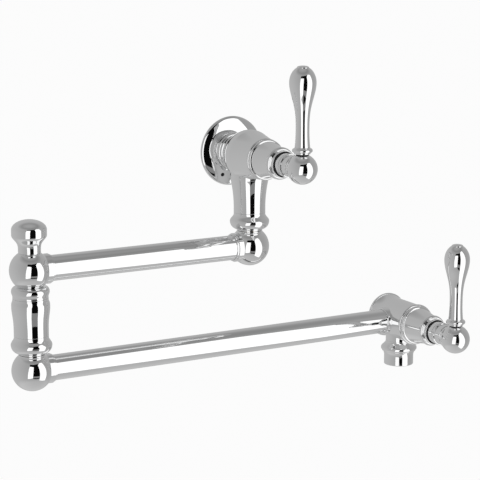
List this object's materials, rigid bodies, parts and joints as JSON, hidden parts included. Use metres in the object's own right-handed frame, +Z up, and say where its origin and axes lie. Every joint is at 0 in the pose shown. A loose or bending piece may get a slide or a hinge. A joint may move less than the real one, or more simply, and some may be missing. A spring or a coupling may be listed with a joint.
{
  "type": "pot filler",
  "caption": "Wall-mounted folding pot filler tap: swivelling tube arm with ball joints, lever valves at the wall and at the spout, aerated outlet.",
  "frame": {"origin": "centre of the half-inch inlet's mouth, in the plane of the wall, at the centre of the wall flange's back face", "axes": "+Z up, +Y into the wall along the inlet, X along the wall; the folded arm reaches towards -X and back towards +X"},
  "size_m": [0.4159, 0.1368, 0.3008],
  "materials": {
    "polished_chrome": "mirror polished",
    "brass": "machined",
    "rubber": "moulded",
    "ceramic": "lapped",
    "moulded_plastic": "moulded",
    "dark_steel": "blackened"
  },
  "bodies": {
    "wall_side": {"wall_flange": "polished_chrome", "flange_screw": "dark_steel", "inlet_union": "polished_chrome", "wall_valve_body": "polished_chrome", "leg_nut": "polished_chrome", "shoulder_washer": "moulded_plastic", "wall_seat_seal": "rubber", "wall_cartridge": "brass", "wall_fixed_disc": "ceramic", "wall_bonnet": "polished_chrome", "wall_gland_ring": "polished_chrome"},
    "wall_lever": {"wall_stem": "brass", "wall_moving_disc": "ceramic", "wall_lever_hub": "polished_chrome", "wall_hub_grub": "dark_steel", "wall_lever_collar": "polished_chrome", "wall_lever_grip": "polished_chrome", "wall_lever_button": "polished_chrome"},
    "upper_arm": {"shoulder_ball": "polished_chrome", "shoulder_spindle": "brass", "shoulder_o_rings": "rubber", "upper_tube": "polished_chrome", "elbow_upper_ball": "polished_chrome", "elbow_finial": "polished_chrome", "column_ring": "polished_chrome", "elbow_column": "polished_chrome", "elbow_nut": "polished_chrome", "elbow_washer": "moulded_plastic"},
    "lower_arm": {"elbow_lower_ball": "polished_chrome", "elbow_spindle": "brass", "elbow_o_rings": "rubber", "lower_tube": "polished_chrome", "spout_valve_body": "polished_chrome", "spout_rear_cap": "polished_chrome", "spout_seat_seal": "rubber", "spout_cartridge": "brass", "spout_fixed_disc": "ceramic", "spout_bonnet": "polished_chrome", "spout_gland_ring": "polished_chrome", "outlet_housing": "polished_chrome", "aerator_gasket": "rubber", "aerator_housing": "polished_chrome", "aerator_insert": "moulded_plastic"},
    "spout_lever": {"spout_stem": "brass", "spout_moving_disc": "ceramic", "spout_lever_hub": "polished_chrome", "spout_hub_grub": "dark_steel", "spout_lever_collar": "polished_chrome", "spout_lever_grip": "polished_chrome", "spout_lever_button": "polished_chrome"}
  },
  "joints": [
    {"name": "wall_lever_turn", "type": "hinge", "parent": "wall_side", "child": "wall_lever", "pos_m": [0, -0.1236, 0], "axis": [0, -1, 0], "range_deg": [0, 90]},
    {"name": "shoulder_swing", "type": "hinge", "parent": "wall_side", "child": "upper_arm", "pos_m": [0, -0.0337, -0.082], "axis": [0, 0, 1], "range_deg": [0, 180]},
    {"name": "elbow_swing", "type": "hinge", "parent": "upper_arm", "child": "lower_arm", "pos_m": [-0.2132, -0.0337, -0.1692], "axis": [0, 0, -1], "range_deg": [-180, 180]},
    {"name": "spout_lever_turn", "type": "hinge", "parent": "lower_arm", "child": "spout_lever", "pos_m": [0.1643, -0.1236, -0.1692], "axis": [0, -1, 0], "range_deg": [0, 90]}
  ]
}
